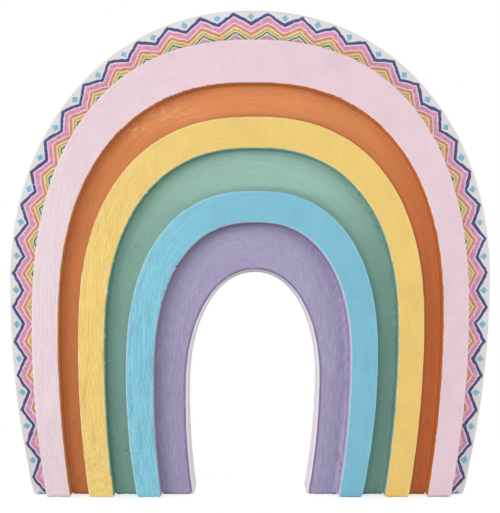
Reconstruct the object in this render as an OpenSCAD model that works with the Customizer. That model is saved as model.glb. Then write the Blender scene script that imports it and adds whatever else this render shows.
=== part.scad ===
// Rainbow stacker: seven wooden arches that nest inside one another, shallow and deep by turns.
// Millimetres, Z up, front towards -Y. All arches share one flat back, and the deep ones stand
// proud at the front. The origin is on the floor, under the middle of the nest.

/* [Nest] */
// Depth of the shallow arches, front to back
shallow_depth = 25; // [12:1:60]
// How far the deep arches stand proud of the shallow ones
proud_step = 10; // [2:1:30]
// Free gap between one arch and the next
nest_gap = 0.4; // [0.3:0.05:1.5]
// Sideways drift of the tunnel from the middle, left by the hand sawing
saw_drift = 1.2; // [-2:0.1:2]

/* [Tunnel] */
// Height of the tunnel under the innermost arch
tunnel_h = 101.3; // [70:0.1:150]
// Width of the tunnel where it is widest
tunnel_w = 58.5; // [45:0.1:100]
// Width of the tunnel on the floor
tunnel_foot_w = 50.2; // [30:0.1:90]
// Height at which the tunnel is widest
tunnel_waist_h = 51; // [30:1:80]

/* [Purple arch] */
// Thickness over the top
purple_crown = 22; // [8:0.1:40]
// Thickness at the waist
purple_side = 14.6; // [6:0.1:30]
// Thickness on the floor
purple_foot = 14.3; // [6:0.1:30]
// Height at which the outer edge is widest
purple_waist_h = 57; // [30:1:80]

/* [Blue arch] */
// Thickness over the top
blue_crown = 14.2; // [8:0.1:40]
// Thickness at the waist
blue_side = 12.4; // [6:0.1:30]
// Thickness on the floor
blue_foot = 10.7; // [6:0.1:30]
// Height at which the outer edge is widest
blue_waist_h = 60; // [35:1:90]

/* [Green arch] */
// Thickness over the top
green_crown = 18.4; // [8:0.1:40]
// Thickness at the waist
green_side = 8.6; // [5:0.1:30]
// Thickness on the floor
green_foot = 9.4; // [5:0.1:30]
// Height at which the outer edge is widest
green_waist_h = 71; // [40:1:100]

/* [Yellow arch] */
// Thickness over the top
yellow_crown = 14.2; // [8:0.1:40]
// Thickness at the waist
yellow_side = 11.8; // [6:0.1:30]
// Thickness on the floor
yellow_foot = 11.1; // [6:0.1:30]
// Height at which the outer edge is widest
yellow_waist_h = 75; // [45:1:100]

/* [Orange arch] */
// Thickness over the top
orange_crown = 14.5; // [8:0.1:40]
// Thickness at the waist
orange_side = 8; // [5:0.1:30]
// Thickness on the floor
orange_foot = 7.6; // [5:0.1:30]
// Height at which the outer edge is widest
orange_waist_h = 79; // [50:1:110]

/* [Pink arch] */
// Thickness over the top
pink_crown = 19.4; // [8:0.1:40]
// Thickness at the waist
pink_side = 11.7; // [6:0.1:30]
// Thickness on the floor
pink_foot = 10.6; // [6:0.1:30]
// Height at which the outer edge is widest
pink_waist_h = 81; // [55:1:115]

/* [Outer arch] */
// Thickness over the top
outer_crown = 14.1; // [8:0.1:40]
// Thickness at the waist
outer_side = 10.6; // [6:0.1:30]
// Thickness on the floor
outer_foot = 6.5; // [5:0.1:30]
// Height at which the outer edge is widest
outer_waist_h = 98; // [65:1:130]

/* [Printed facing] */
// Thickness of the printed facing on the front of the outer arch
facing_t = 0.4; // [0.2:0.1:2]
// Bare rim of the outer arch left around the facing
facing_rim = 0.5; // [0.2:0.1:2]

/* [Feet] */
// Radius of the worn corners where the outer edge and the tunnel meet the floor
foot_corner_r = 2; // [0.5:0.1:4]

/* [Hidden] */

// The arches in nest order, from the tunnel outwards, and their sizes in the same order
NEST = ["purple", "blue", "green", "yellow", "orange", "pink", "outer"];
crown_sizes = [purple_crown, blue_crown, green_crown, yellow_crown, orange_crown, pink_crown, outer_crown];
side_sizes = [purple_side, blue_side, green_side, yellow_side, orange_side, pink_side, outer_side];
foot_sizes = [purple_foot, blue_foot, green_foot, yellow_foot, orange_foot, pink_foot, outer_foot];
waist_hs = [purple_waist_h, blue_waist_h, green_waist_h, yellow_waist_h,
            orange_waist_h, pink_waist_h, outer_waist_h];
arch_count = len(NEST);

// Powers of the curves: a crown of power 2 is an ellipse, and a higher one has fuller shoulders
outline_power = 2.1;
saw_cut_power = 2.38;
leg_power = 2;

// Sideways lean of the edges, as a share of the height above the waist
tunnel_lean_share = 0.021;
outline_lean_share = 0.007;

// Points along the edges
crown_steps = 64;
leg_steps = 8;
corner_steps = 4;

deep_depth = shallow_depth + proud_step;
back_y = deep_depth / 2;
facing_back_y = back_y - shallow_depth;

// An edge is a list of its half width at the waist, half width on the floor, crown height and waist height
tunnel_edge = [tunnel_w / 2, tunnel_foot_w / 2, tunnel_h, tunnel_waist_h];

// Place of an arch in the nest
function place_of(name) = search([name], NEST)[0];

// Sum of the sizes of the arches up to a place, with the gaps between them
function reach(sizes, place) =
    place == 0 ? sizes[0] : reach(sizes, place - 1) + nest_gap + sizes[place];

function outer_edge(place) = [
    tunnel_w / 2 + reach(side_sizes, place),
    tunnel_foot_w / 2 + reach(foot_sizes, place),
    tunnel_h + reach(crown_sizes, place),
    waist_hs[place]];

function inner_edge(place) = place == 0 ? tunnel_edge : grown(outer_edge(place - 1), nest_gap);

// The same edge, moved outwards all along
function grown(edge, by) = edge + [by, by, by, 0];

// Edges are counted from the tunnel: 0 is the tunnel and arch_count is the outline of the whole nest
function power(edge_no) = edge_no == 0 || edge_no == arch_count ? outline_power : saw_cut_power;

function lean_share(edge_no) =
    tunnel_lean_share + (outline_lean_share - tunnel_lean_share) * edge_no / arch_count;

function middle_x(edge_no, waist_h, z) =
    saw_drift * (1 - edge_no / arch_count) + lean_share(edge_no) * (z - waist_h);

// Half width of a leg at height z, drawn in towards the floor
function leg_half(edge, z) = edge[0] - (edge[0] - edge[1]) * pow(1 - z / edge[3], leg_power);

// One side of a leg from the floor up to the waist, as pairs of half width and height.
// A worn corner takes its arc off the leg where turn is -1, and adds it to a tunnel where turn is 1.
function leg_side(edge, turn) = concat(
    turn == 0 ? [[edge[1], 0]] : [
        for (step = [0 : corner_steps])
            let (angle = 90 * step / corner_steps, z = foot_corner_r * (1 - cos(angle)))
                [leg_half(edge, z) + turn * foot_corner_r * (1 - sin(angle)), z]],
    [for (step = [1 : leg_steps - 1])
        let (z = edge[3] * step / leg_steps)
            if (z > foot_corner_r) [leg_half(edge, z), z]]);

// The crown from the right waist over the top to the left waist
function crown_side(edge, edge_no) = [
    for (step = [0 : crown_steps])
        let (angle = 180 * step / crown_steps, across = cos(angle), up = sin(angle))
            [edge[0] * sign(across) * pow(abs(across), 2 / power(edge_no)),
             edge[3] + (edge[2] - edge[3]) * pow(up, 2 / power(edge_no))]];

// A whole edge from the right foot to the left foot
function edge_points(edge, edge_no, turn) =
    let (right_leg = leg_side(edge, turn),
         left_leg = [for (p = reversed(right_leg)) [-p[0], p[1]]])
    [for (p = concat(right_leg, crown_side(edge, edge_no), left_leg))
        [p[0] + middle_x(edge_no, edge[3], p[1]), p[1]]];

function reversed(points) = [for (step = [len(points) - 1 : -1 : 0]) points[step]];

// Front view of one arch, with its edges drawn in by a rim
module arch_face(name, rim) {
    place = place_of(name);
    outer_turn = place == arch_count - 1 ? -1 : 0;
    inner_turn = place == 0 ? 1 : 0;
    polygon(concat(
        edge_points(grown(outer_edge(place), -rim), place + 1, outer_turn),
        reversed(edge_points(grown(inner_edge(place), rim), place, inner_turn))));
}

// One arch standing on the floor, with its flat back in line with the others
module arch(name, depth)
    translate([0, back_y, 0])
        rotate([90, 0, 0])
            linear_extrude(depth)
                arch_face(name, 0);

module outer_arch() color("#efeae4") arch("outer", shallow_depth);

// Printed paper glued to the front of the outer arch, ending a rim above the floor
module printed_facing() {
    outline = outer_edge(place_of("outer"));
    color("#d9b9cf")
        translate([0, facing_back_y, 0])
            rotate([90, 0, 0])
                linear_extrude(facing_t)
                    intersection() {
                        arch_face("outer", facing_rim);
                        translate([-outline[0], facing_rim])
                            square([2 * outline[0], outline[2]]);
                    }
}

module pink_arch() color("#e8ced7") arch("pink", deep_depth);

module orange_arch() color("#cf7c48") arch("orange", shallow_depth);

module yellow_arch() color("#edca77") arch("yellow", deep_depth);

module green_arch() color("#7fa894") arch("green", shallow_depth);

module blue_arch() color("#80bed3") arch("blue", deep_depth);

module purple_arch() color("#9e97b8") arch("purple", shallow_depth);

outer_arch();
printed_facing();
pink_arch();
orange_arch();
yellow_arch();
green_arch();
blue_arch();
purple_arch();
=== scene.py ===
"""Rainbow stacker of seven nested wooden arches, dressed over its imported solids.

Lengths are metres in the frame's own axes: X to the right, Y away from the viewer, Z up.
"""

import math

import bpy
import numpy as np
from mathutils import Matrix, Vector


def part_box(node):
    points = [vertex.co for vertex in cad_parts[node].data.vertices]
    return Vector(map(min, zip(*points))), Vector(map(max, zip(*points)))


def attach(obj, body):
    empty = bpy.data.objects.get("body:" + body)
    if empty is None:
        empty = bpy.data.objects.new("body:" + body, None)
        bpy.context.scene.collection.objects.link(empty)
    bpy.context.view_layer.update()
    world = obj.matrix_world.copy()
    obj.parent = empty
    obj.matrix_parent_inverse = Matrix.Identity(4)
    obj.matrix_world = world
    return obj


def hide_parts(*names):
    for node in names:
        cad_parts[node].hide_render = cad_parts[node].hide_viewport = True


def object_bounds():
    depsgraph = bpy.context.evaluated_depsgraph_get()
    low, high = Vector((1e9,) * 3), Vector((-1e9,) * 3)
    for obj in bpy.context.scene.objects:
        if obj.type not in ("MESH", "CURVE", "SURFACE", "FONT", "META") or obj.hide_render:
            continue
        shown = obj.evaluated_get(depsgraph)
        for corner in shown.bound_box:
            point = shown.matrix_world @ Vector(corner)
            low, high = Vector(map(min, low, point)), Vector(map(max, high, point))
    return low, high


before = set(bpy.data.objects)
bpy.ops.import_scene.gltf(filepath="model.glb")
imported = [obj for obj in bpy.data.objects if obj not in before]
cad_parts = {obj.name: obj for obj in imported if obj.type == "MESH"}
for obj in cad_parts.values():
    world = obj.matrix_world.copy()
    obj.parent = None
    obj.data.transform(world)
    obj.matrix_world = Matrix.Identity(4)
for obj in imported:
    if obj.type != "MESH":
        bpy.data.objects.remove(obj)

cad_low, cad_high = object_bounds()

MM = 0.001

# Camera: straight on, level, with the photograph's framing
IMAGE_LONG_SIDE_PX = 513
PIXEL_AT_FRONT = 0.45 * MM
CAMERA_DISTANCE = 0.800
CAMERA_HEIGHT = 0.1084
SENSOR = 36.0

# Lamps, each with its azimuth and elevation in degrees and its strength
LAMPS = (
    ("key", -4.0, 15.0, 2.02),
    ("left_window", -43.0, -2.0, 3.55),
    ("right_fill", 48.0, 2.0, 2.56),
    ("back_left", -142.0, 20.0, 1.6),
    ("back_right", 142.0, 20.0, 1.6),
)
LAMP_AIM = Vector((0.0, 0.0, 0.11))
LAMP_DISTANCE = 0.65
LAMP_WIDTH = 0.50
LAMP_HEIGHT = 0.24
WORLD_LIGHT = 0.45

# Floor: it turns plain white to the camera between two distances from the origin
FLOOR_HALF_WIDTH = 6.0
FLOOR_GREY = (0.55, 0.55, 0.55, 1.0)
FLOOR_LIFT = 0.66
FLOOR_PLAIN = (0.14, 0.34)
PLAIN_WHITE = (1.0, 1.0, 1.0, 1.0)

# Paint colours, as the eye sees them in plain light, 0 to 255
WHITE = (238, 236, 231)
PINK = (233, 206, 216)
# This and the other pale colours below show in broken strokes low on the left leg, and in pale chips
PINK_PALE = (237, 231, 231)
ORANGE = (224, 146, 90)
ORANGE_SCUFF = (240, 190, 146)
# The deep orange below is painted shade in the legs' recesses, and the soiled one the colour of dirt and
# painted shade
ORANGE_PAINTED_SHADE = (212, 80, 6)
ORANGE_DIRT_AND_SHADE = (112, 52, 14)
YELLOW = (238, 203, 116)
YELLOW_PALE = (250, 221, 140)
GREEN = (158, 195, 180)
# The deep green below is painted shade in the legs' recesses, and the soiled one the colour of dirt and
# painted shade
GREEN_PAINTED_SHADE = (66, 118, 86)
GREEN_DIRT_AND_SHADE = (44, 98, 66)
BLUE = (125, 190, 212)
BLUE_PALE = (146, 214, 232)
PURPLE = (171, 165, 195)
PURPLE_DEEP = (133, 110, 158)
PURPLE_RIM = (134, 114, 156)
# Painted light: the lavender where the purple wall and corner catch the light on the right leg
LAVENDER_PAINTED_LIGHT = (216, 199, 238)
TUNNEL_PALE = (254, 244, 250)

# Colours of rubbed paint, with its painted highlight, and of dirt with painted shade, where a paint has no
# colour of its own for these
RUB_AND_HIGHLIGHT_TOWARDS = 250
RUB_AND_HIGHLIGHT_SHARE = 0.5
DIRT_AND_SHADE_TINT = 0.45

# Cover of dirt and painted shade, surface of the paint, and where its upright strokes begin and are full
DIRT_AND_SHADE_COVER = 0.8
TOOTH_BUMP = 0.2
PATCH_BUMP = 3.0
UPRIGHT_Z = (115 * MM, 75 * MM)
UPRIGHT_LEAST = 0.10

# Print colours
PRINT_GROUND = (231, 229, 228)
PRINT_INDIGO = (84, 78, 132)
PRINT_PINK = (224, 150, 188)
PRINT_ORANGE = (222, 146, 98)
PRINT_MUSTARD = (216, 184, 74)
PRINT_GREEN = (76, 142, 52)
PRINT_SKY = (134, 190, 210)

# Print layout: zigzag stripes, each from one distance to another behind the zigzag line
PRINT_PERIOD = 15.6 * MM
PRINT_RISE = 4.4 * MM
PRINT_BLUR = 0.16 * MM
PRINT_SHAKE = 1.3 * MM
PRINT_STRIPES = (
    (PRINT_INDIGO, 0.3 * MM, 1.9 * MM),
    (PRINT_PINK, 2.5 * MM, 4.6 * MM),
    (PRINT_ORANGE, 5.2 * MM, 6.6 * MM),
    (PRINT_MUSTARD, 7.2 * MM, 8.4 * MM),
    (PRINT_GREEN, 8.9 * MM, 9.8 * MM),
    (PRINT_PINK, 10.4 * MM, 12.0 * MM),
)
DIAMOND_MIDDLE = 2.3 * MM
DIAMOND_REACH = 1.7 * MM

# Reading of the outlines
TOUCHING = 1e-6
KEY_DIGITS = 7
SPLINE_FINENESS = 8
NEAREST_STARTS = 600
NEAREST_ROUNDS = 12
NEAREST_STEP = 0.05 * MM
NEAREST_PACE = 0.6

# Sampling of the arches
SECTION_STEP = 0.6 * MM
LEFT_STEP = 0.3 * MM
LEFT_RUN = 115 * MM
FOOT_STEPS = 6
PROUD_STEP = 0.24 * MM
RECESS_STEP = 0.5 * MM
EDGE_BAND = 1.3 * MM
EDGE_STEPS = 8
CROWDING = 1.6
WALL_STEPS = 5
BACK_STEPS = 6
ARC_STEPS = 4
SUPPORT = 0.25 * MM
LEG_END = 25 * MM

# Worn edges; a piece that is thinner than THIN radii has smaller ones
PROUD_OUTER_R = 0.50 * MM
SHARP_INNER_R = 0.45 * MM
ROUND_INNER_R = 0.65 * MM
SNUG_R = 0.06 * MM
PAPER_R = 0.1 * MM
TUNNEL_EDGE_R = 1.9 * MM
BACK_EDGE_R = 0.7 * MM
FOOT_R = 1.4 * MM
THIN = 4

# How far the paint fills a gap from either side, and how far the outer arch draws back
GAP_FILL = 0.19 * MM
OUTER_FILL = -0.03 * MM

# Regions of a profile that are marked together
FRONT = ("front", "inner_edge", "outer_edge")
OUTER_CORNER = ("front", "outer_edge")
INNER_CORNER = ("front", "inner_edge")
INNER_WALL = ("inner_edge", "inner")

# Parts of an arch that fade in between two places, or between two directions of the arch
LEFT_X = (-5 * MM, -50 * MM)
LEFT_FADE = 110 * MM
LEFT_TOP = 215 * MM
SAW_TOP = 245 * MM
RIGHT_X = (25 * MM, 55 * MM)
RIGHT_Z = (160 * MM, 90 * MM)
RIGHT_FACING = (-0.1875, -0.8125)
FRONT_FADE = 0.6 * MM
RUB_AND_HIGHLIGHT_FADE = (0.528 * MM, 0.088 * MM)
RUB_AND_HIGHLIGHT_DEPTH = 0.5 * MM

# Shares that change with a value: the share at 0, the change for each unit, and their limits
# Rubbed edges get more of their pale colour where they face left, as a painted highlight from the light on
# that side
RUB_AND_HIGHLIGHT_BY_FACING = (0.42, 0.58, 0.25)
# Painted shade by facing: on the left leg's inner walls, and in the corners under the outer and the inner
# wall
LEFT_WALL_SHADE = (0.70, 0.75)
OUTER_CORNER_SHADE = (1.0, 1.4)
INNER_CORNER_SHADE = (0.55, -0.45)
# Crumbly corner strips: dirt on the lumps, and painted shade along the whole strip
CRUMBLE_DIRT_AND_SHADE = (0.25, 0.6, 0.0, 0.9)
LUMP_SOIL = (-0.6, 1.0, 0.0, 0.5)

# Noise patterns: layers, each with its place in the seeds, its sizes in mm along two axes and its share
RIDGE_WANDER = ((0, 6, 24, 0.30), (1, 1.7, 6, 0.12))
RIDGE_PATCHES = ((2, 3, 12, 0.22),)
SAW_HAIRS = ((3, 0.5, 4, 0.35),)
SAW_DASHES = ((4, 0.5, 1.3, 0.6),)
SAW_SWELL = ((5, 11, 15, 0.3),)
SAW_BUMPS = ((6, 0.55, 0.6, 0.5),)
BRUSH_STROKES = ((0, 16, 0.9, 1.0), (1, 34, 2.1, 0.8), (4, 4, 0.5, 0.7))
BRUSH_PATCHES = ((2, 17, 17, 0.6),)
BRUSH_SWELL = ((3, 9, 9, 0.8),)
CRUMBLE = ((0, 1.1, 0.45, 1.0), (1, 0.6, 0.3, 0.6))
FOOT_LUMPS = ((0, 1.3, 2.2, 1.0), (1, 0.6, 0.8, 0.6))
FOOT_COARSE = ((0, 1.9, 2.5, 0.7),)
SCUFF_BLOTS = ((0, 1.6, 0.9, 0.9), (1, 0.6, 0.6, 0.63))

# Noise patterns along a line: layers, each with its place in the seeds, its size and its share
FOOT_FINE = ((1, 0.7 * MM, 0.35),)
FRAYING = ((0, 1.0, 0.66), (7, 0.3, 0.33))
FILLET_WAVES = ((0, 7 * MM, 0.28), (2, 1.8 * MM, 0.2))
RAGGED_LINE = ((0, 1.7 * MM, 1.0), (1, 9 * MM, 0.6))

# Saw marks: one ridge to the next, their shares, their depth and their lean low on the legs
RIDGE_GAP = 1.2 * MM
RIDGE_SHARE = 0.78
RIDGE_RIGHT = 0.16
RIDGE_WORN = 0.55
SAW_DEPTH = 1.9
RIDGE_LEAN_TOP = 75 * MM
RIDGE_LEAN_LEFT = 0.24
RIDGE_LEAN_RIGHT = 0.072
DASH_SLANT = math.radians(38)
PLASTER_Z = (46 * MM, 12 * MM)

# Reach and size of other wear, and of thick paint
FRAY_DEPTH = 1.6 * MM
FRAY_REACH = 1.2 * MM
CHIP_REACH = 0.7 * MM
FOOT_WEAR = 2.2 * MM
FOOT_LIFT = 0.35
BRUSH_SHARE = 0.6
FILLET_FOOT = 2 * MM
FILLET_LEAST = 0.3
CRUMBLE_HEIGHT = 0.10 * MM
CRUMBLE_ENDS = 1.6
WALL_DEPTH = 4 * MM
SCUFF_SHARE = 0.40

# Hash of the noise
HASH_X = np.uint32(374761393)
HASH_Y = np.uint32(668265263)
HASH_SEED = 362437
HASH_STIR = np.uint32(1274126177)


# Numbers

def smooth(t):
    """Eases a share from 0 to 1."""
    t = np.clip(t, 0.0, 1.0)
    return t * t * (3.0 - 2.0 * t)


def ease(value, start, end):
    """0 at the start, 1 at the end and a smooth step between them. The end may be the smaller one."""
    return smooth((value - start) / (end - start))


def share_of(value, at_zero, change, least=0.0, most=1.0):
    """A share that changes evenly with a value and stays between two limits."""
    return np.clip(at_zero + change * value, least, most)


def fall(value, reach):
    """1 up to a value of 0, falling off over a reach beyond it."""
    return np.exp(-np.maximum(value, 0.0) / reach)


def bell(*offsets):
    """1 in the middle, fading all round with the offsets from it, each counted in its own size."""
    return np.exp(-sum(offset ** 2 for offset in offsets))


def lattice(ix, iy, seed):
    """A repeatable random number from -1 to 1 for each whole-number place."""
    h = ix.astype(np.uint32) * HASH_X + iy.astype(np.uint32) * HASH_Y
    h = h + np.uint32((seed * HASH_SEED) % 2 ** 32)
    h = (h ^ (h >> np.uint32(13))) * HASH_STIR
    h = h ^ (h >> np.uint32(16))
    return h.astype(float) / 2 ** 31 - 1.0


def noise(x, y, seed):
    """Smooth noise from about -1 to 1 over a plane, one bump to a unit."""
    x, y = np.broadcast_arrays(np.asarray(x, float), np.asarray(y, float))
    ix, iy = np.floor(x).astype(np.int64), np.floor(y).astype(np.int64)
    fx, fy = smooth(x - ix), smooth(y - iy)
    low = lattice(ix, iy, seed) * (1 - fx) + lattice(ix + 1, iy, seed) * fx
    high = lattice(ix, iy + 1, seed) * (1 - fx) + lattice(ix + 1, iy + 1, seed) * fx
    return low * (1 - fy) + high * fy


def pattern(x, y, layers, seed):
    """Smooth noise over a plane, in layers."""
    return sum(share * noise(x / (wide * MM), y / (high * MM), seed + n) for n, wide, high, share in layers)


def line_pattern(x, layers, seed):
    """Smooth noise along a line, in layers."""
    return sum(share * noise(x / size, 0.5, seed + n) for n, size, share in layers)


def linear(rgb):
    """A 0 to 255 screen colour as the linear RGBA that a shader takes, by the sRGB curve."""
    def one(c):
        c = c / 255.0
        return c / 12.92 if c <= 0.04045 else ((c + 0.055) / 1.055) ** 2.4
    return tuple(one(c) for c in rgb) + (1.0,)


def tinted(rgb, by):
    """A colour made lighter, by more than 1, or darker."""
    return tuple(min(255.0, c * by) for c in rgb)


# Outlines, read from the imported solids

def front_rim(node):
    """The corners, x and z, on the rim of a CAD node's front face, each with the two corners beside it."""
    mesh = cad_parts[node].data
    front_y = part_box(node)[0].y
    points = np.array([v.co for v in mesh.vertices], float)
    keys = [(round(p[0], KEY_DIGITS), round(p[2], KEY_DIGITS)) for p in points]
    on_front = np.abs(points[:, 1] - front_y) < TOUCHING
    uses = {}
    for face in mesh.polygons:
        corners = list(face.vertices)
        if not all(on_front[c] for c in corners):
            continue
        for a, b in zip(corners, corners[1:] + corners[:1]):
            edge = frozenset((keys[a], keys[b]))
            uses[edge] = uses.get(edge, 0) + 1
    beside = {}
    for a, b in (edge for edge, count in uses.items() if count == 1):
        beside.setdefault(a, []).append(b)
        beside.setdefault(b, []).append(a)
    return beside


def front_loop(node):
    """The corners, x and z, around the front face of a CAD node, in order."""
    beside = front_rim(node)
    loop = [min(beside)]
    while True:
        onward = [p for p in beside[loop[-1]] if len(loop) < 2 or p != loop[-2]]
        if onward[0] == loop[0] and len(loop) > 2:
            return np.array(loop)
        loop.append(onward[0])


def edges_of(node):
    """The outer and the inner edge of a CAD arch's front face, each from the left foot to the right."""
    loop = front_loop(node)
    low = loop[:, 1] < loop[:, 1].min() + TOUCHING
    count = len(loop)
    first, second = (i for i in range(count) if low[i] and low[(i + 1) % count])
    one = loop[first + 1:second + 1]
    other = np.roll(loop, -(second + 1), axis=0)[:count - (second - first)]
    edges = [e if e[0, 0] < e[-1, 0] else e[::-1] for e in (one, other)]
    return sorted(edges, key=lambda e: -e[:, 1].max())


def lengths_to(points):
    """The length along a line of points, from its start to each of them."""
    return np.r_[0.0, np.cumsum(np.linalg.norm(np.diff(points, axis=0), axis=1))]


def spline_bends(points, gaps):
    """The second derivative of a natural cubic spline at each of its points."""
    count = len(points)
    rows = np.eye(count)
    right = np.zeros((count, 2))
    for i in range(1, count - 1):
        before, after = gaps[i - 1], gaps[i]
        rows[i, i - 1:i + 2] = before, 2 * (before + after), after
        right[i] = 6 * ((points[i + 1] - points[i]) / after - (points[i] - points[i - 1]) / before)
    return np.linalg.solve(rows, right)


def spline(points):
    """A smooth curve through points, as a function of the length along it, and its whole length."""
    knots = lengths_to(points)
    gaps = np.diff(knots)
    bend = spline_bends(points, gaps)
    count = len(points)

    def at(t):
        i = np.clip(np.searchsorted(knots, t, side="right") - 1, 0, count - 2)
        h = gaps[i][:, None]
        a = (knots[i + 1] - t)[:, None]
        b = (t - knots[i])[:, None]
        bent = (bend[i] * a ** 3 + bend[i + 1] * b ** 3) / (6 * h)
        return bent + (points[i] / h - bend[i] * h / 6) * a + (points[i + 1] / h - bend[i + 1] * h / 6) * b

    fine = np.linspace(0.0, knots[-1], SPLINE_FINENESS * count)
    run = lengths_to(at(fine))
    return (lambda length: at(np.interp(length, run, fine))), run[-1]


# Lofted arches

def section_places(length):
    """Places of the cross-sections along an arch, close in the left leg and closest at the feet."""
    foot = FOOT_R * np.linspace(0.0, 1.0, FOOT_STEPS) ** CROWDING
    left = np.linspace(FOOT_R, LEFT_RUN, int((LEFT_RUN - FOOT_R) / LEFT_STEP))[1:-1]
    last = length - FOOT_R
    rest = np.linspace(LEFT_RUN, last, int((last - LEFT_RUN) / SECTION_STEP))
    return np.r_[foot, left, rest[:-1], length - foot[::-1]]


def nearest(points, edge_at, edge_length):
    """Lengths along an edge, each at the place nearest to one of the points."""
    starts = np.linspace(0.0, edge_length, NEAREST_STARTS)
    away = np.linalg.norm(points[:, None] - edge_at(starts)[None], axis=2)
    length = starts[away.argmin(axis=1)]
    for _ in range(NEAREST_ROUNDS):
        ahead, behind = edge_at(length + NEAREST_STEP), edge_at(length - NEAREST_STEP)
        along = ((points - edge_at(length)) * (ahead - behind)).sum(axis=1) / (2 * NEAREST_STEP)
        length = np.clip(length + NEAREST_PACE * along, 0.0, edge_length)
    return length


def opposite(points, edge_at, edge_length, floor_gap):
    """Lengths along an edge opposite points of another: the nearest places, but even steps by the feet."""
    length = nearest(points, edge_at, edge_length)
    rise = floor_gap / LEG_END
    left = np.arange(len(length)) < len(length) / 2
    first, last = np.flatnonzero(rise >= 1)[[0, -1]]
    even = np.where(left, rise * length[first], edge_length - rise * (edge_length - length[last]))
    foot = 1 - ease(rise, 0.5, 1.0)
    return length + foot * (even - length)


def front_shares(width, step):
    """Places across a front, as shares of its width, close together near its two edges."""
    near = EDGE_BAND * np.linspace(0.0, 1.0, EDGE_STEPS) ** CROWDING
    middle = np.linspace(EDGE_BAND, width - EDGE_BAND, int(round((width - 2 * EDGE_BAND) / step)))
    return np.r_[near[:-1], middle, width - near[-2::-1]] / width


class Profile:
    """The outline of an arch's cross-section, once round from the outer front edge.

    A point lies at along + share * width from the outer edge and at depth behind the front.
    inward is the direction into the wood, and region says which face the point belongs to.
    """

    def __init__(self, depth, outer_r, inner_r, back_r, across):
        rows = []

        def line(region, start, end, inward, steps):
            for t in steps:
                along, share, back = (s + (e - s) * t for s, e in zip(start, end))
                rows.append((along, share, back, *inward, region))

        def arc(region, centre, share, r, start):
            for step in range(1, ARC_STEPS):
                angle = math.radians(start + 90.0 * step / ARC_STEPS)
                x, y = math.cos(angle), math.sin(angle)
                rows.append((centre[0] + r * x, share, centre[1] + r * y, -x, -y, region))

        near = SUPPORT / depth
        down = [0.0, near, *np.linspace(near, 1 - near, WALL_STEPS)[1:-1], 1 - near, 1.0]
        back = np.linspace(0.0, 1.0, BACK_STEPS)
        line("front", (outer_r, 0, 0), (-inner_r, 1, 0), (0, 1), across)
        arc("inner_edge", (-inner_r, inner_r), 1, inner_r, -90)
        line("inner", (0, 1, inner_r), (0, 1, depth - back_r), (-1, 0), down)
        arc("inner_back", (-back_r, depth - back_r), 1, back_r, 0)
        line("back", (-back_r, 1, depth), (back_r, 0, depth), (0, -1), back)
        arc("outer_back", (back_r, depth - back_r), 0, back_r, 90)
        line("outer", (0, 0, depth - back_r), (0, 0, outer_r), (1, 0), down)
        arc("outer_edge", (outer_r, outer_r), 0, outer_r, 180)
        table = np.array([r[:5] for r in rows], float)
        self.along, self.share, self.depth = table[:, 0], table[:, 1], table[:, 2]
        self.inward = table[:, 3:5]
        self.region = [r[5] for r in rows]


def add_object(name, data):
    """A new object in the scene."""
    made = bpy.data.objects.new(name, data)
    bpy.context.scene.collection.objects.link(made)
    return made


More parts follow.
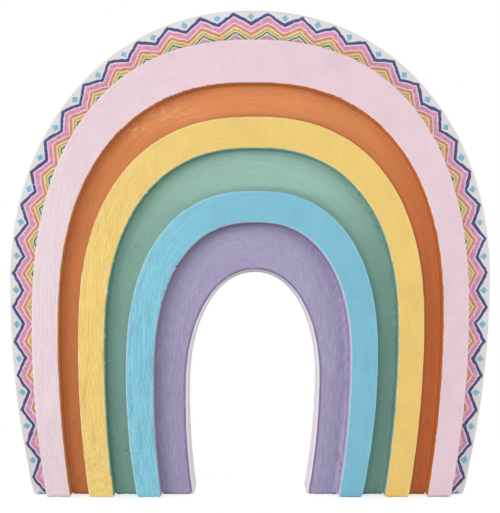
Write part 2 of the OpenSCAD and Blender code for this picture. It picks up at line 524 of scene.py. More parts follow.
class Loft:
    """An arch swept along its outer and inner edge, before it becomes a mesh.

    The arrays have a row for each section and a column for each step round the profile. a is the place
    across from the outer edge, b the place behind the front, and lift the height above the plain sweep.
    relief, grime, tone, patch and deep become point attributes for the paint; grime holds dirt and painted
    shade, and deep a deeper colour of painted shade, with painted light in the purple's right corner.
    across_x and across_z are the direction from the outer to the inner edge. rim_only leaves the outer edge
    unrubbed.
    """

    def __init__(self, node, radii, fill=(0.0, 0.0), step=RECESS_STEP):
        low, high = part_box(node)
        depth = high.y - low.y
        outer, inner = edges_of(node)
        outer_at, self.length = spline(outer)
        inner_at, inner_length = spline(inner)
        self.run = section_places(self.length)
        outer = outer_at(self.run)
        inner = inner_at(opposite(outer, inner_at, inner_length, self.floor_gap()))
        width = np.linalg.norm(inner - outer, axis=1)[:, None]
        across = (inner - outer) / width
        self.across_x, self.across_z = across[:, :1], across[:, 1:]
        self.outer = outer - across * fill[0]
        self.width = width + fill[0] + fill[1]
        self.along = self.run[:, None]
        self.radii = radii
        self.rim_only = False
        self.front_y = low.y
        shares = front_shares(np.median(self.width), step)
        self.profile = Profile(depth, *radii, min(BACK_EDGE_R, depth / THIN), shares)
        inset = self.foot_inset(depth)
        self.a = self.profile.along + self.profile.share * self.width + inset * self.profile.inward[:, 0]
        self.b = self.profile.depth + inset * self.profile.inward[:, 1]
        zeros = np.zeros((6, *self.a.shape))
        self.lift, self.relief, self.dirt_and_shade, self.tone, self.patch, self.deep = zeros

    def floor_gap(self):
        """How far each section is from the nearer foot."""
        return np.minimum(self.run, self.length - self.run)

    def foot_inset(self, depth):
        """How far the faces draw in at each section to round the feet, less on a thin piece."""
        held = np.clip(FOOT_R - self.floor_gap(), 0.0, FOOT_R)
        inset = FOOT_R - np.sqrt(FOOT_R ** 2 - held ** 2)
        return inset[:, None] * min(1.0, depth / (THIN * FOOT_R))

    def share_along(self):
        """0 at the left foot and 1 at the right foot."""
        return self.along / self.length

    def x(self):
        return self.outer[:, :1] + self.across_x * self.a

    def z(self):
        return self.outer[:, 1:] + self.across_z * self.a + self.lift

    def from_inner(self):
        """How far each point lies from the inner edge."""
        return self.width - self.a

    def on(self, regions):
        """1 on some regions of the profile and 0 elsewhere."""
        return np.array([r in regions for r in self.profile.region])

    def on_front(self):
        """1 on the front face, fading out over its worn edges."""
        reach = np.maximum(np.minimum(self.a, self.from_inner()), 0.0)
        return ease(reach, 0.0, FRONT_FADE) * ease(self.b, FRONT_FADE, 0.0) * self.on(FRONT)

    def left_side(self, top=LEFT_TOP):
        """1 low on the left leg, fading out up to a height and towards the middle."""
        return ease(self.x(), *LEFT_X) * ease(self.z(), top, top - LEFT_FADE)

    def right_side(self):
        """1 where the arch faces right, fading out over the right shoulder."""
        return ease(self.across_x, *RIGHT_FACING)

    def right_leg(self):
        """1 on the right leg, fading out at the right shoulder."""
        return ease(self.x(), *RIGHT_X) * ease(self.z(), *RIGHT_Z)

    def rub_and_highlight_share(self):
        """1 along the rubbed front edges and 0 away from them, more on edges that face left, where a painted
        highlight stands for the light from that side.
        """
        from_outer = self.a - self.radii[0]
        from_inner = self.from_inner() - self.radii[1]
        inside = np.maximum(np.minimum(from_outer, from_inner), 0.0)
        near = ease(inside, *RUB_AND_HIGHLIGHT_FADE) * fall(self.b, RUB_AND_HIGHLIGHT_DEPTH)
        if self.rim_only:
            return near * (from_inner < from_outer)
        facing_left = np.where(from_outer < from_inner, self.across_x, -self.across_x)
        return near * share_of(facing_left, *RUB_AND_HIGHLIGHT_BY_FACING)

    def darken(self, share):
        """Makes the paint at least as dark as a share: dirt from some callers, painted shade from others."""
        self.dirt_and_shade = np.maximum(self.dirt_and_shade, share)

    def fray(self, worn, uneven, grain, seed):
        """Wears the outer and the inner front edge back, as sawing and sanding by hand leave them.

        worn is how far each of the two goes back, uneven how much that varies and grain how fast.
        """
        fade = fall(self.b, FRAY_DEPTH)
        for side, back, from_edge in ((1, worn[0], self.a), (-1, worn[1], self.from_inner())):
            wander = line_pattern(self.along / grain, FRAYING, seed + side)
            hold = fade * fall(from_edge, FRAY_REACH)
            self.a += side * hold * (back + uneven * wander)

    def chip(self, count, seed, shares=(0.02, 0.98), outer_share=0.5, sizes=(0.4 * MM, 1.1 * MM)):
        """Knocks small chips out of the front edges, between two shares of the length."""
        chance = np.random.default_rng(seed)
        for _ in range(count):
            place = chance.uniform(*shares) * self.length
            size = chance.uniform(*sizes)
            deep = chance.uniform(0.15 * MM, 0.45 * MM)
            on_outer = chance.random() < outer_share
            from_edge = self.a if on_outer else self.from_inner()
            hold = bell((self.along - place) / size)
            hold = hold * fall(from_edge, CHIP_REACH) * fall(self.b, CHIP_REACH)
            self.a += (deep if on_outer else -deep) * hold
            self.b += deep * hold

    def wear_feet(self, size, seed):
        """Leaves the sawn feet a little uneven, with parts of them off the floor."""
        near = ease(self.floor_gap(), FOOT_WEAR, 0.0)[:, None]
        uneven = pattern(self.x(), self.b, FOOT_COARSE, seed) + line_pattern(self.x(), FOOT_FINE, seed)
        self.lift += size * near * np.clip(FOOT_LIFT + uneven, 0.0, 1.0)

    def saw_marks(self, size, seed):
        """Raises upright ridges on the front, bold on the left, and plaster-like bumps by the left foot."""
        x, z = self.x(), self.z()
        left = self.left_side(SAW_TOP)
        low = left * ease(z, *PLASTER_Z)
        lean = np.where(x < 0, RIDGE_LEAN_LEFT, RIDGE_LEAN_RIGHT)
        x = x + lean * np.minimum(z - RIDGE_LEAN_TOP, 0.0) ** 2 / RIDGE_LEAN_TOP
        ridges = np.sin(2 * math.pi * (x / RIDGE_GAP + pattern(x, z, RIDGE_WANDER, seed)))
        ridges = ridges * (RIDGE_SHARE + pattern(x, z, RIDGE_PATCHES, seed)) + pattern(x, z, SAW_HAIRS, seed)
        aslant = x * math.cos(DASH_SLANT) - z * math.sin(DASH_SLANT)
        upslant = x * math.sin(DASH_SLANT) + z * math.cos(DASH_SLANT)
        plaster = pattern(aslant, upslant, SAW_DASHES, seed) + pattern(x, z, SAW_BUMPS, seed)
        upright = (RIDGE_RIGHT + (1 - RIDGE_RIGHT) * left) * (1 - RIDGE_WORN * low) * ridges
        front = self.on_front()
        self.relief = front * (upright + low * plaster)
        self.patch = low
        self.b += size * ((SAW_DEPTH - pattern(x, z, SAW_SWELL, seed)) * front - self.relief)

    def brush(self, size, seed):
        """Leaves strokes of thick paint on the front, along the arch."""
        strokes = pattern(self.along, self.a, BRUSH_STROKES, seed)
        bold = np.maximum(BRUSH_SHARE + pattern(self.x(), self.z(), BRUSH_PATCHES, seed), 0.0)
        swell = pattern(self.x(), self.z(), BRUSH_SWELL, seed)
        front = self.on_front()
        self.relief = front * strokes * bold
        self.b -= size * (self.relief + swell * front)

    def fillet(self, outer_r, inner_r, seed, right_extra=0.0):
        """Lets the paint climb in a hollow curve where the front meets the walls beside it."""
        foot = np.clip(self.floor_gap() / FILLET_FOOT, FILLET_LEAST, 1.0)[:, None]
        foot = foot * (1 + right_extra * self.right_side())
        for side, r, from_edge in ((0, outer_r, self.a), (1, inner_r, self.from_inner())):
            if r == 0:
                continue
            r = r * (1 + line_pattern(self.along, FILLET_WAVES, seed + side)) * foot
            rest = np.clip(1 - from_edge / r, 0.0, 1.0)
            self.b -= r * (1 - np.sqrt(1 - rest ** 2)) * self.on(FRONT)

    def crumbs(self, shares, clusters, seed):
        """Clumps of dried paint in the corner under the outer wall, between two shares of the length."""
        chance = np.random.default_rng(seed)
        corner = self.on(OUTER_CORNER)
        for _ in range(clusters):
            middle = chance.uniform(*shares) * self.length
            for _ in range(chance.integers(2, 6)):
                place = middle + chance.normal(0.0, 1.4 * MM)
                off = 0.25 * MM + chance.exponential(0.35 * MM)
                size = chance.uniform(0.16 * MM, 0.36 * MM)
                long = chance.uniform(1.0, 2.6) * size
                near = bell((self.along - place) / long, (self.a - off) / size) * corner
                high = chance.uniform(0.5, 1.1) * size
                self.b -= high * near
                self.darken(chance.uniform(0.3, 0.9) * near)

    def roughen(self, shares, reach, seed):
        """Leaves a crumbly strip in the corner under the outer wall, between two shares, with dirt on its
        lumps and painted shade along the corner.
        """
        half = (shares[1] - shares[0]) / 2
        window = smooth(CRUMBLE_ENDS * (1 - np.abs(self.share_along() - shares[0] - half) / half))
        near = window * bell(np.maximum(self.a, 0.0) / reach) * self.on(OUTER_CORNER)
        lumps = pattern(self.along, self.a, CRUMBLE, seed)
        self.b -= CRUMBLE_HEIGHT * near * lumps
        self.darken(near * share_of(lumps, *CRUMBLE_DIRT_AND_SHADE))

    def lump_feet(self, height, seed):
        """Leaves the paint thick and crumbly low on the legs."""
        near = ease(self.z(), height, 0.0) * self.on_front()
        lumps = pattern(self.x(), self.z(), FOOT_LUMPS, seed)
        self.b -= CRUMBLE_HEIGHT * near * lumps
        self.darken(near * share_of(lumps, *LUMP_SOIL))

    def flecks(self, shares, count, seed):
        """Dark crumbs and pale chips down the inner wall, between two shares of the length."""
        chance = np.random.default_rng(seed)
        wall = self.on(INNER_WALL)
        for _ in range(count):
            place = chance.uniform(*shares) * self.length
            long = chance.uniform(0.25 * MM, 1.0 * MM)
            deep = chance.uniform(0.3 * MM, 7.0 * MM)
            high = chance.uniform(0.8 * MM, 2.6 * MM)
            near = bell((self.along - place) / long, (self.b - deep) / high) * wall
            pale = chance.random() < 0.35
            if pale:
                self.dirt_and_shade = self.dirt_and_shade * (1 - near)
                self.tone = np.maximum(self.tone, 0.8 * near)
            else:
                self.darken(chance.uniform(0.5, 1.2) * near)

    def paint_inner_wall_shade(self, left, right):
        """Paints shade on the inner wall, darker deeper in towards the corner where the next arch's front
        meets it: left gives its share on the left leg and the crown, right on the right leg.
        """
        share = left * share_of(self.across_x, *LEFT_WALL_SHADE)
        share = np.maximum(share, right * np.clip(-self.across_x, 0.0, 1.0))
        deeper = 0.65 + 0.35 * ease(self.b, 0.0, WALL_DEPTH)
        self.darken(share * deeper * self.on(INNER_WALL))

    def paint_roof_shade(self, share):
        """Paints shade on the inner wall where it faces down."""
        self.darken(share * smooth(-self.across_z) ** 2 * self.on(INNER_WALL))

    def paint_outer_corner_shade(self, share, reach):
        """Paints shade on the front in the corner under the outer wall, except on the right."""
        side = share_of(self.across_x, *OUTER_CORNER_SHADE)
        self.darken(share * side * fall(self.a, reach) * self.on(OUTER_CORNER))

    def paint_inner_corner_shade(self, share, reach):
        """Paints shade on the front in the corner under the inner arch, most on the right leg."""
        side = share_of(self.across_x, *INNER_CORNER_SHADE)
        self.darken(share * side * ease(self.from_inner(), reach, 0.0) * self.on(INNER_CORNER))

    def paint_leg_shade(self, left, right):
        """Paints shade on the two legs: a deeper, more saturated colour, as the shade and bounced light in
        the recesses there.
        """
        self.deep = np.maximum(left * self.left_side(), right * self.right_leg())

    def scuff(self, x, z, width, height, seed):
        """Rubs the paint pale around a place."""
        near = bell((self.x() - x) / width, (self.z() - z) / height) * self.on_front()
        cover = smooth(SCUFF_SHARE + pattern(self.along, self.a, SCUFF_BLOTS, seed))
        self.tone = np.maximum(self.tone, 0.95 * near * cover)

    def pits(self, places, size):
        """Small dents in the front, each at a share of the length and a share of the width."""
        for along, across in places:
            offsets = (self.along - along * self.length) / size, (self.a - across * self.width) / size
            dent = bell(*offsets) * self.on_front()
            self.b += 0.6 * size * dent
            self.darken(dent)

    def build(self, name, materials, paint_of):
        """Makes the piece. paint_of gives each face's material number, as sections by profile steps."""
        places = np.stack([self.x(), self.front_y + self.b, self.z()], axis=-1)
        index = np.arange(self.a.size).reshape(self.a.shape)
        after = np.roll(index, -1, axis=1)
        quads = np.stack([index[:-1], index[1:], after[1:], after[:-1]], axis=-1).reshape(-1, 4)
        caps = [index[0].tolist(), index[-1][::-1].tolist()]
        mesh = bpy.data.meshes.new(name)
        mesh.from_pydata(places.reshape(-1, 3).tolist(), [], quads.tolist() + caps)
        for material in materials:
            mesh.materials.append(material)
        numbers = np.r_[paint_of(self)[:-1].ravel(), 0, 0].astype(np.int32)
        mesh.polygons.foreach_set("material_index", numbers)
        mesh.polygons.foreach_set("use_smooth", np.r_[np.ones(len(quads), bool), False, False])
        self.add_attributes(mesh)
        self.add_uv(mesh)
        mesh.update()
        return add_object(name, mesh)

    def add_attributes(self, mesh):
        """Hands the paint's point attributes to a mesh."""
        attributes = {"edge": self.rub_and_highlight_share(), "relief": self.relief, "dirt_and_shade": self.dirt_and_shade,
                      "tone": self.tone, "patch": self.patch, "deep": self.deep}
        for label, values in attributes.items():
            layer = mesh.attributes.new(label, "FLOAT", "POINT")
            layer.data.foreach_set("value", values.astype(np.float32).ravel())

    def add_uv(self, mesh):
        """Gives a mesh coordinates that follow the arch: the length along it, and a + b across it."""
        uv = mesh.uv_layers.new(name="along")
        along = np.broadcast_to(self.along, self.a.shape)
        flat = np.stack([along, self.a + self.b], axis=-1).reshape(-1, 2)
        corners = np.zeros(len(mesh.loops), np.int32)
        mesh.loops.foreach_get("vertex_index", corners)
        uv.data.foreach_set("uv", flat[corners].astype(np.float32).ravel())


# Materials

class Shader:
    """Short ways to wire up the nodes of a material or of the world."""

    def __init__(self, owner):
        self.owner = owner
        owner.use_nodes = True
        self.tree = owner.node_tree
        self.tree.nodes.clear()

    def node(self, kind, inputs=(), **settings):
        made = self.tree.nodes.new("ShaderNode" + kind)
        for key, value in settings.items():
            setattr(made, key, value)
        for key, value in dict(inputs).items():
            self.put(made.inputs[key], value)
        return made

    def out(self, *described, **settings):
        """The first output of a new node."""
        return self.node(*described, **settings).outputs[0]

    def put(self, socket, value):
        if isinstance(value, bpy.types.NodeSocket):
            self.tree.links.new(value, socket)
        else:
            socket.default_value = value

    def math(self, operation, a, b=0.0, clamp=False):
        return self.out("Math", {0: a, 1: b}, operation=operation, use_clamp=clamp)

    def times(self, a, b):
        return self.math("MULTIPLY", a, b)

    def plus(self, a, b):
        return self.math("ADD", a, b)

    def minus(self, a, b):
        return self.math("SUBTRACT", a, b)

    def vector(self, operation, inputs):
        return self.node("VectorMath", inputs, operation=operation)

    def mix(self, factor, a, b):
        """One colour or the other, by a factor from 0 to 1. The keys are the node's colour sockets."""
        return self.node("Mix", {0: factor, 6: a, 7: b}, data_type="RGBA").outputs[2]

    def ramp(self, value, low, high):
        """A smooth step from 0 at low to 1 at high."""
        inputs = {0: value, 1: low, 2: high}
        return self.out("MapRange", inputs, interpolation_type="SMOOTHSTEP")

    def noise(self, vector, scale, detail=3.0, roughness=0.55):
        inputs = {"Vector": vector, "Scale": scale, "Detail": detail, "Roughness": roughness}
        return self.out("TexNoise", inputs)

    def stretched(self, vector, sizes, lean=0.0):
        """Coordinates that count in the given sizes along each axis, after a lean about Y."""
        inputs = {"Vector": vector, "Rotation": (0.0, lean, 0.0), "Scale": sizes}
        return self.out("Mapping", inputs, vector_type="TEXTURE")

    def lines(self, vector, sizes, detail=3.0, lean=0.0):
        """Noise drawn out into lines of the given sizes."""
        return self.noise(self.stretched(vector, sizes, lean), 1.0, detail, 0.6)

    def attribute(self, name):
        return self.node("Attribute", attribute_name=name).outputs["Fac"]

    def object_place(self):
        return self.node("TexCoord").outputs["Object"]

    def arch_place(self):
        """Coordinates that follow the arch."""
        return self.out("UVMap", uv_map="along")

    def seen(self):
        """1 for what the camera sees, straight or by way of gloss or glass, and 0 for other light."""
        path = self.node("LightPath")
        seen = self.math("MAXIMUM", path.outputs["Is Camera Ray"], path.outputs["Is Glossy Ray"])
        return self.math("MAXIMUM", seen, path.outputs["Is Transmission Ray"])

    def matte(self, colour, roughness, specular, height, bump):
        """Ends a material as a matte surface. bump is the strength and the distance of the height."""
        normal = self.out("Bump", {"Strength": bump[0], "Distance": bump[1], "Height": height})
        inputs = {"Base Color": colour, "Roughness": roughness, "Specular IOR Level": specular}
        surface = self.out("BsdfPrincipled", {**inputs, "Normal": normal})
        self.node("OutputMaterial", {"Surface": surface})
        return self.owner


class Paint(Shader):
    """Matte paint, whose colour is built up in layers from a mottled ground."""

    def __init__(self, name, rgb):
        super().__init__(bpy.data.materials.new(name))
        self.rgb = rgb
        self.place = self.object_place()
        along = self.arch_place()
        self.mottle = self.noise(self.place, scale=70.0, detail=4.0)
        self.fibre = self.lines(self.place, sizes=(0.42 * MM, 2.0 * MM, 14.0 * MM))
        self.stroke = self.lines(along, sizes=(18.0 * MM, 0.8 * MM, 1.0))
        self.fine = self.lines(along, sizes=(4.5 * MM, 0.5 * MM, 1.0), detail=2.0)
        self.grit = self.noise(self.place, scale=1500.0)
        dark, light = linear(tinted(rgb, 0.975)), linear(tinted(rgb, 1.015))
        self.colour = self.mix(self.ramp(self.mottle, low=0.3, high=0.7), dark, light)

    def cover(self, share, rgb):
        """Lays another colour over the paint."""
        self.colour = self.mix(share, self.colour, linear(rgb))

    def shade(self, texture, start, full, by, strength):
        """Tints the paint where a texture goes from a start value to a full one."""
        self.cover(self.times(self.ramp(texture, start, full), strength), tinted(self.rgb, by))

    def stroke_over(self, rgb, patch_lean):
        """Lays on a second colour in broken strokes, along the arch or leaning where the patch is."""
        broken = self.stroke
        if patch_lean:
            slanted = self.lines(self.place, sizes=(0.9 * MM, 4.0 * MM, 9.0 * MM), lean=patch_lean)
            broken = self.mix(self.attribute("patch"), broken, slanted)
        broken = self.ramp(broken, low=0.30, high=0.62)
        self.cover(self.math("MULTIPLY", self.attribute("tone"), broken, clamp=True), rgb)

    def stroke_upright(self, strength):
        """Upright strokes low on the legs, faint higher up."""
        upright = self.lines(self.place, sizes=(0.55 * MM, 2.0 * MM, 6.0 * MM))
        height = self.node("SeparateXYZ", {0: self.place}).outputs[2]
        low = self.plus(self.times(self.ramp(height, *UPRIGHT_Z), strength), UPRIGHT_LEAST)
        self.shade(upright, 0.50, 0.36, by=0.88, strength=low)
        self.shade(upright, 0.52, 0.66, by=1.10, strength=low)

    def rub_and_highlight(self, rgb, wear_and_highlight):
        """Shows a colour along the rubbed edges, in patches: worn paint, with a painted highlight on the
        edges that face the light.
        """
        patches = self.ramp(self.noise(self.place, scale=260.0), low=0.22, high=0.50)
        rubbed = self.times(self.attribute("edge"), patches)
        self.cover(self.math("MULTIPLY", rubbed, wear_and_highlight, clamp=True), rgb)

    def height(self, fibres, strokes, streaks, gritty):
        """Height of the fine bumps, with more of them where the patch is if the paint is gritty there."""
        tooth = self.noise(self.place, scale=2600.0, detail=2.0)
        height = self.plus(self.times(self.fibre, fibres), self.times(self.stroke, strokes))
        height = self.plus(height, self.times(tooth, TOOTH_BUMP))
        height = self.plus(height, self.times(self.plus(self.fine, self.grit), streaks))
        if not gritty:
            return height
        grains = self.noise(self.place, scale=1500.0, detail=2.0)
        return self.plus(height, self.times(grains, self.times(self.attribute("patch"), PATCH_BUMP)))


def paint(name, rgb, second=None, deep=None, dirt_and_shade_rgb=None, rim=None, fibres=0.0, strokes=0.0, streaks=0.12,
          relief_shade_and_highlight=0.45, wear_and_highlight=0.0, upright=0.0, patch_lean=0.0):
    """Matte paint on wood, with painted shade and highlight in its relief, mottling, strokes, rubbed edges
    with a painted highlight, and dirt with painted shade.

    second is a colour that shows in broken strokes where the tone attribute says, and deep one that shows
    where the deep attribute says: painted shade in the recesses, painted light in the purple's right corner.
    soiled is the colour of dirt and painted shade, and rim that of rubbed edges and their painted highlight.
    upright is the strength of upright strokes. The patch attribute marks where strokes of the second colour
    lean, in a paint with a patch_lean, and where the paint is gritty in any other.
    """
    p = Paint(name, rgb)
    p.shade(p.noise(p.place, scale=18.0, detail=2.0), 0.35, 0.75, by=1.03, strength=0.5)
    p.shade(p.noise(p.place, scale=1700.0, detail=2.0), 0.52, 0.30, by=0.92, strength=0.40)
    # Deeper colour where the deep attribute says: painted shade in the recesses, painted light in the
    # purple's right corner
    if deep:
        p.cover(p.attribute("deep"), deep)
    if second:
        p.stroke_over(second, patch_lean)
    relief = p.attribute("relief")
    # Painted shade in the hollows of the relief and a painted highlight on its crests
    p.shade(relief, 0.1, -1.2, by=0.91, strength=relief_shade_and_highlight)
    p.shade(relief, 0.2, 1.3, by=1.08, strength=relief_shade_and_highlight)
    p.shade(p.fibre, 0.50, 0.34, by=0.90, strength=0.22 * fibres)
    if upright:
        p.stroke_upright(upright)
    p.shade(p.stroke, 0.52, 0.35, by=0.90, strength=0.5 * strokes)
    p.shade(p.fine, 0.50, 0.34, by=0.87, strength=streaks)
    p.shade(p.fine, 0.52, 0.66, by=1.10, strength=0.8 * streaks)
    p.shade(p.grit, 0.50, 0.36, by=0.88, strength=0.5 * streaks)
    p.shade(p.grit, 0.52, 0.66, by=1.09, strength=0.5 * streaks)
    p.shade(p.stroke, 0.55, 0.72, by=1.07, strength=0.4 * strokes)
    # Rubbed edges: worn paint, and a painted highlight on the edges that face the light
    p.rub_and_highlight(rim or tuple(c + (RUB_AND_HIGHLIGHT_TOWARDS - c) * RUB_AND_HIGHLIGHT_SHARE for c in rgb), wear_and_highlight)
    # Dirt, and painted shade in corners, on walls and under the roof, darken the paint here
    p.cover(p.times(p.attribute("dirt_and_shade"), DIRT_AND_SHADE_COVER), dirt_and_shade_rgb or tinted(rgb, DIRT_AND_SHADE_TINT))
    roughness = p.plus(p.times(p.mottle, 0.16), 0.54)
    height = p.height(fibres, strokes, streaks, gritty=not patch_lean)
    return p.matte(p.colour, roughness, specular=0.32, height=height, bump=(0.5, 0.08 * MM))


class Print(Shader):
    """Matte print, whose inks are laid one over another on a pale ground."""

    def __init__(self, name):
        super().__init__(bpy.data.materials.new(name))
        self.place = self.object_place()
        self.wash = self.noise(self.place, scale=520.0)
        ground = self.ramp(self.noise(self.place, scale=90.0), low=0.35, high=0.7)
        self.colour = self.mix(ground, linear(tinted(PRINT_GROUND, 0.97)), linear(PRINT_GROUND))

    def shaken(self):
        """The place along and the place across the arch, shaken a little as by a hand."""
        inputs = {"Vector": self.place, "Scale": 330.0, "Detail": 2.0}
        shake = self.node("TexNoise", inputs).outputs[1]
        shake = self.vector("SUBTRACT", {0: shake, 1: (0.5, 0.5, 0.5)}).outputs[0]
        shake = self.vector("SCALE", {0: shake, "Scale": PRINT_SHAKE}).outputs[0]
        moved = self.vector("ADD", {0: self.arch_place(), 1: shake}).outputs[0]
        parts = self.node("SeparateXYZ", {0: moved})
        return parts.outputs[0], parts.outputs[1]

    def above(self, value, low):
        return self.ramp(value, low - PRINT_BLUR, low + PRINT_BLUR)

    def below(self, value, high):
        return self.ramp(value, high + PRINT_BLUR, high - PRINT_BLUR)

    def lay(self, ink, inside):
        """Prints an ink, a little patchy, where inside is 1."""
        cover = self.times(inside, self.ramp(self.wash, low=0.10, high=0.40))
        dark, light = linear(tinted(ink, 0.92)), linear(tinted(ink, 1.06))
        patchy = self.mix(self.ramp(self.wash, low=0.3, high=0.7), dark, light)
        self.colour = self.mix(cover, self.colour, patchy)


def printed(name, period):
    """Matte print of zigzag stripes, with small diamonds in the notches along the outer edge."""
    p = Print(name)
    u, v = p.shaken()
    from_peak = p.math("ABSOLUTE", p.minus(p.math("FRACT", p.math("DIVIDE", u, period)), 0.5))
    behind = p.minus(v, p.times(from_peak, 2 * PRINT_RISE))
    for ink, low, high in PRINT_STRIPES:
        p.lay(ink, p.times(p.above(behind, low), p.below(behind, high)))
    wide = p.times(p.minus(0.5, from_peak), period)
    high = p.math("ABSOLUTE", p.minus(v, DIAMOND_MIDDLE))
    p.lay(PRINT_SKY, p.below(p.plus(wide, high), DIAMOND_REACH))
    tooth = p.noise(p.stretched(p.place, sizes=(0.8 * MM, 3.3 * MM, 6.2 * MM)), scale=1.0)
    return p.matte(p.colour, roughness=0.7, specular=0.25, height=tooth, bump=(0.35, 0.06 * MM))


# Pieces

def ragged_from(seed, offset=0.2, spread=1.4):
    """Own paint, with a ragged line near the front inner edge where the inner wall's paint starts.

    offset and spread, in steps round the profile, say where the line lies and how far it wanders.
    """
    def numbers(loft):
        region = loft.profile.region
        first = region.index("inner_edge")
        last = max(i for i, r in enumerate(region) if r == "inner_back")
        ragged = line_pattern(loft.along, RAGGED_LINE, seed)
        starts = first + np.round(offset + spread * ragged).astype(int)
        place = np.arange(len(region))[None, :]
        return ((place >= starts) & (place <= last)).astype(int)
    return numbers


def own_only(loft):
    """Own paint all over."""
    return np.zeros(loft.a.shape, int)


def add_piece(loft, name, materials, paint_of, node, body):
    piece = loft.build(name, materials, paint_of)
    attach(piece, body)
    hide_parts(node)


def add_arch(loft, colour, materials, paint_of=own_only):
    """Adds an arch whose node, body and paint are all named after its colour."""
    add_piece(loft, colour + "_wooden_arch", materials, paint_of,
              colour + "_arch", colour)


def proud_arch(colour, seed, inner_r, ridge, pale_left, darken, right_light_and_shade=0.1):
    """A deep arch with saw marks, worn edges and painted shade on its inner walls, before its own chips and
    flecks.
    """
    loft = Loft(colour + "_arch", (PROUD_OUTER_R, inner_r), (GAP_FILL, GAP_FILL), PROUD_STEP)
    loft.fray(worn=(0.12 * MM, 0.30 * MM), uneven=0.20 * MM, grain=4.0 * MM, seed=seed)
    loft.chip(24, seed=seed + 3)
    loft.saw_marks(ridge, seed=seed + 5)
    loft.b = np.maximum(loft.b, 0.0)
    loft.wear_feet(0.4 * MM, seed=seed + 7)
    loft.paint_inner_wall_shade(*darken)
    # On the right leg the inner wall takes the next paint's deep colour: painted shade on the pink and
    # yellow arches, painted lavender light on the blue arch
    loft.deep = right_light_and_shade * loft.right_side() * np.ones(loft.a.shape)
    # Paler broken strokes low on the left leg
    loft.tone = pale_left * loft.left_side()
    return loft


def tone_purple(loft):
    """Lays out the purple arch's deep strokes, with more low on the right leg as painted shade, and the
    lavender in its right corner as painted light.
    """
    share, z = loft.share_along(), loft.z()
    shoulder = ease(share, 0.52, 0.62) * ease(share, 0.92, 0.76)
    on_shoulder = 0.65 * shoulder * ease(loft.a, 6.6 * MM, 0.6 * MM)
    inner_band = 0.22 * ease(loft.a / loft.width, 0.45, 0.70) * ease(share, 0.54, 0.48)
    low = (0.10 + 0.25 * loft.right_leg()) * ease(z, 75 * MM, 35 * MM)
    right_corner = loft.right_side() * ease(z, 105 * MM, 80 * MM) * ease(loft.a, 2.7 * MM, 0.9 * MM)
    loft.tone = 0.08 + np.maximum(on_shoulder, inner_band) + low
    loft.deep = 0.75 * right_corner * loft.on(OUTER_CORNER)
    loft.patch = shoulder * np.ones(loft.a.shape)


# In these paints, relief carries painted shade and highlight, and rubbed edges carry a painted highlight
white = paint("white_paint", WHITE, fibres=0.5, strokes=0.3, wear_and_highlight=0.2)
pink = paint("pink_paint", PINK, PINK_PALE, fibres=0.45, strokes=0.10, wear_and_highlight=1.1)
orange = paint("orange_paint", ORANGE, ORANGE_SCUFF, ORANGE_PAINTED_SHADE, ORANGE_DIRT_AND_SHADE, strokes=0.38,
               relief_shade_and_highlight=0.30)
yellow = paint("yellow_paint", YELLOW, YELLOW_PALE, fibres=0.60, strokes=0.12, relief_shade_and_highlight=0.60, wear_and_highlight=1.3)
green = paint("green_paint", GREEN, deep=GREEN_PAINTED_SHADE, dirt_and_shade_rgb=GREEN_DIRT_AND_SHADE, strokes=0.40, relief_shade_and_highlight=0.30)
blue = paint("blue_paint", BLUE, BLUE_PALE, fibres=0.50, strokes=0.40, relief_shade_and_highlight=0.55, wear_and_highlight=1.5)
purple = paint("purple_paint", PURPLE, PURPLE_DEEP, LAVENDER_PAINTED_LIGHT, rim=PURPLE_RIM, strokes=0.65, streaks=0.34,
               relief_shade_and_highlight=0.50, wear_and_highlight=1.0, upright=0.50, patch_lean=math.radians(24))
lavender = paint("lavender_paint", PURPLE, deep=LAVENDER_PAINTED_LIGHT, strokes=0.2, wear_and_highlight=0.2)
tunnel_pale = paint("tunnel_paint", TUNNEL_PALE, strokes=0.3)

# The proud arches carry painted shade on their inner walls; each pair gives its shares on the left and on
# the right
loft = proud_arch("pink", 11, SHARP_INNER_R, ridge=0.095 * MM, pale_left=0.52, darken=(0.55, 0.22))
loft.chip(34, 17, (0.34, 0.46), outer_share=0.0, sizes=(0.25 * MM, 0.55 * MM))
loft.chip(8, 19, (0.585, 0.605), outer_share=0.0, sizes=(0.3 * MM, 0.7 * MM))
loft.flecks((0.30, 0.46), count=170, seed=13)
loft.flecks((0.55, 0.66), count=60, seed=15)
add_arch(loft, "pink", [pink, orange], ragged_from(20))

loft = proud_arch("yellow", 31, ROUND_INNER_R, ridge=0.29 * MM, pale_left=0.85, darken=(0.85, 0.15))
loft.flecks((0.12, 0.42), count=150, seed=33)
add_arch(loft, "yellow", [yellow, green], ragged_from(40))

loft = proud_arch("blue", 51, ROUND_INNER_R, ridge=0.24 * MM, pale_left=0.95, darken=(0.4, 0.0), right_light_and_shade=1.0)
loft.flecks((0.24, 0.42), count=90, seed=53)
add_arch(loft, "blue", [blue, lavender], ragged_from(60))

loft = Loft("orange_arch", (SNUG_R, SNUG_R), (GAP_FILL, GAP_FILL))
loft.brush(0.014 * MM, seed=71)
loft.fillet(outer_r=0.9 * MM, inner_r=0.4 * MM, seed=75)
loft.roughen((0.28, 0.46), reach=1.3 * MM, seed=81)
loft.roughen((0.54, 0.63), reach=1.0 * MM, seed=83)
loft.pits(((0.068, 0.48), (0.014, 0.47), (0.975, 0.42), (0.981, 0.55), (0.93, 0.4)), size=0.35 * MM)
loft.scuff(x=-40 * MM, z=174 * MM, width=12 * MM, height=4.5 * MM, seed=77)
loft.scuff(x=-52 * MM, z=166 * MM, width=6 * MM, height=4 * MM, seed=78)
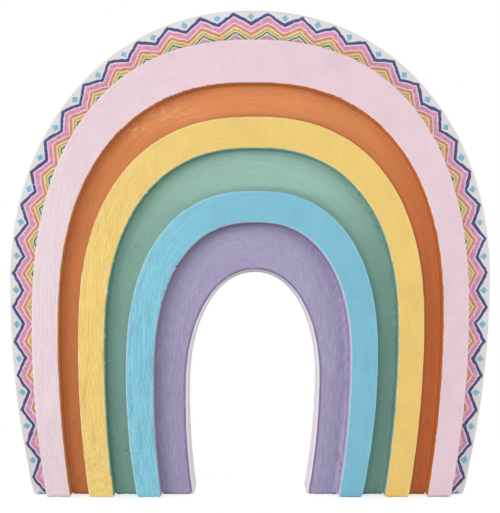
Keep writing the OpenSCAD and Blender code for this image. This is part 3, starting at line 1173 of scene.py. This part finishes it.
# Painted shade: a deeper colour on the legs, most on the right, and darker corners under the outer and the
# inner arch
loft.paint_leg_shade(left=0.03, right=0.28)
loft.paint_outer_corner_shade(0.38, reach=1.4 * MM)
loft.paint_inner_corner_shade(0.75, reach=2.4 * MM)
loft.lump_feet(height=13 * MM, seed=73)
loft.wear_feet(0.4 * MM, seed=79)
add_arch(loft, "orange", [orange])

loft = Loft("green_arch", (SNUG_R, SNUG_R), (GAP_FILL, GAP_FILL))
loft.brush(0.016 * MM, seed=91)
loft.fillet(outer_r=0.9 * MM, inner_r=0.4 * MM, seed=97)
loft.roughen((0.01, 0.20), reach=0.9 * MM, seed=89)
loft.roughen((0.26, 0.41), reach=1.0 * MM, seed=85)
loft.roughen((0.57, 0.72), reach=1.7 * MM, seed=87)
loft.crumbs((0.02, 0.45), clusters=14, seed=93)
loft.crumbs((0.62, 0.98), clusters=9, seed=95)
loft.crumbs((0.89, 0.95), clusters=6, seed=103)
loft.crumbs((0.02, 0.16), clusters=16, seed=105)
loft.crumbs((0.16, 0.34), clusters=14, seed=107)
loft.pits(((0.05, 0.75), (0.30, 0.5)), size=0.4 * MM)
# Painted shade: a deeper colour on the legs, most on the right, and darker corners under the outer and the
# inner arch
loft.paint_leg_shade(left=0.10, right=0.22)
loft.paint_outer_corner_shade(0.54, reach=1.2 * MM)
loft.paint_inner_corner_shade(0.45, reach=4.0 * MM)
loft.lump_feet(height=9 * MM, seed=101)
loft.wear_feet(0.4 * MM, seed=99)
add_arch(loft, "green", [green])

loft = Loft("purple_arch", (SNUG_R, TUNNEL_EDGE_R), (GAP_FILL, 0.0))
loft.rim_only = True
loft.fray(worn=(0.0, 0.05 * MM), uneven=0.05 * MM, grain=6.0 * MM, seed=111)
loft.brush(0.030 * MM, seed=113)
loft.fillet(outer_r=1.3 * MM, inner_r=0.0, seed=117, right_extra=0.9)
loft.roughen((0.01, 0.20), reach=0.9 * MM, seed=129)
loft.roughen((0.20, 0.44), reach=0.9 * MM, seed=125)
loft.crumbs((0.30, 0.38), clusters=8, seed=115)
loft.pits(((0.507, 0.58), (0.343, 0.71), (0.825, 0.48)), size=0.32 * MM)
loft.lump_feet(height=10 * MM, seed=127)
loft.crumbs((0.86, 0.99), clusters=4, seed=121)
# Painted shade under the tunnel's roof, on the left tunnel wall and in the corner under the outer wall
loft.paint_roof_shade(0.6)
loft.paint_inner_wall_shade(left=0.26, right=0.0)
loft.paint_outer_corner_shade(0.72, reach=1.7 * MM)
# Deep strokes, with painted shade low on the right leg, and painted lavender light in the right corner
tone_purple(loft)
loft.wear_feet(0.4 * MM, seed=123)
add_arch(loft, "purple", [purple, tunnel_pale], ragged_from(119, offset=0.0, spread=0.3))

loft = Loft("outer_arch", (PROUD_OUTER_R, SNUG_R), (OUTER_FILL, GAP_FILL))
loft.brush(0.03 * MM, seed=131)
loft.wear_feet(0.3 * MM, seed=133)
add_piece(loft, "outer_wooden_arch", [white], own_only, "outer_arch", "outer")

loft = Loft("printed_facing", (PAPER_R, PAPER_R))
turns = round(loft.length / PRINT_PERIOD)
add_piece(loft, "printed_border", [printed("printed_paper", loft.length / turns)], own_only,
          "printed_facing", "outer")


# Stage, light and camera

def floor_material():
    """A pale floor with a soft shadow near the object, plain white to the camera further out."""
    s = Shader(bpy.data.materials.new("pale_floor"))
    far = s.ramp(s.vector("LENGTH", {0: s.object_place()}).outputs["Value"], *FLOOR_PLAIN)
    seen = s.seen()
    lit = s.out("BsdfDiffuse", {"Color": FLOOR_GREY})
    lift = s.out("Emission", {"Strength": s.times(seen, FLOOR_LIFT)})
    near = s.out("AddShader", {0: lit, 1: lift})
    plain = s.out("Emission", {"Strength": 1.0})
    mixed = s.out("MixShader", {0: s.times(far, seen), 1: near, 2: plain})
    s.node("OutputMaterial", {"Surface": mixed})
    return s.owner


def make_floor():
    far = FLOOR_HALF_WIDTH
    corners = [(-far, -far, 0), (far, -far, 0), (far, far, 0), (-far, far, 0)]
    mesh = bpy.data.meshes.new("floor")
    mesh.from_pydata(corners, [], [(0, 1, 2, 3)])
    mesh.materials.append(floor_material())
    floor = add_object("floor", mesh)


def make_world():
    """Even light from all round, and plain white where the camera looks past the floor."""
    world = bpy.data.worlds.new("studio")
    bpy.context.scene.world = world
    s = Shader(world)
    around = s.out("Background", {"Color": PLAIN_WHITE, "Strength": WORLD_LIGHT})
    plain = s.out("Background", {"Color": PLAIN_WHITE, "Strength": 1.0})
    mixed = s.out("MixShader", {0: s.seen(), 1: around, 2: plain})
    s.node("OutputWorld", {"Surface": mixed})


def make_lamp(name, azimuth, elevation, strength):
    """A wide soft lamp aimed at the middle of the object; azimuth 0 is straight ahead.

    strength is the power of a lamp that would light the object as much from one metre away.
    """
    around, up = math.radians(azimuth), math.radians(elevation)
    out = Vector((math.sin(around) * math.cos(up), -math.cos(around) * math.cos(up), math.sin(up)))
    lamp = bpy.data.lights.new(name, "AREA")
    lamp.shape = "RECTANGLE"
    lamp.size = LAMP_WIDTH
    lamp.size_y = LAMP_HEIGHT
    lamp.energy = strength * LAMP_DISTANCE ** 2
    holder = add_object(name, lamp)
    holder.visible_camera = False
    holder.location = LAMP_AIM + LAMP_DISTANCE * out
    holder.rotation_euler = (-out).to_track_quat("-Z", "Y").to_euler()


def make_camera():
    """A level camera in front, as far away as gives the photograph's scale at the object's front."""
    camera = bpy.data.cameras.new("camera")
    camera.sensor_width = SENSOR
    camera.lens = SENSOR * CAMERA_DISTANCE / (PIXEL_AT_FRONT * IMAGE_LONG_SIDE_PX)
    holder = add_object("camera", camera)
    holder.location = (0.0, cad_low.y - CAMERA_DISTANCE, CAMERA_HEIGHT)
    holder.rotation_euler = (math.radians(90.0), 0.0, 0.0)
    bpy.context.scene.camera = holder


make_floor()
make_world()
for lamp in LAMPS:
    make_lamp(*lamp)
make_camera()
bpy.context.scene.view_settings.view_transform = "Standard"
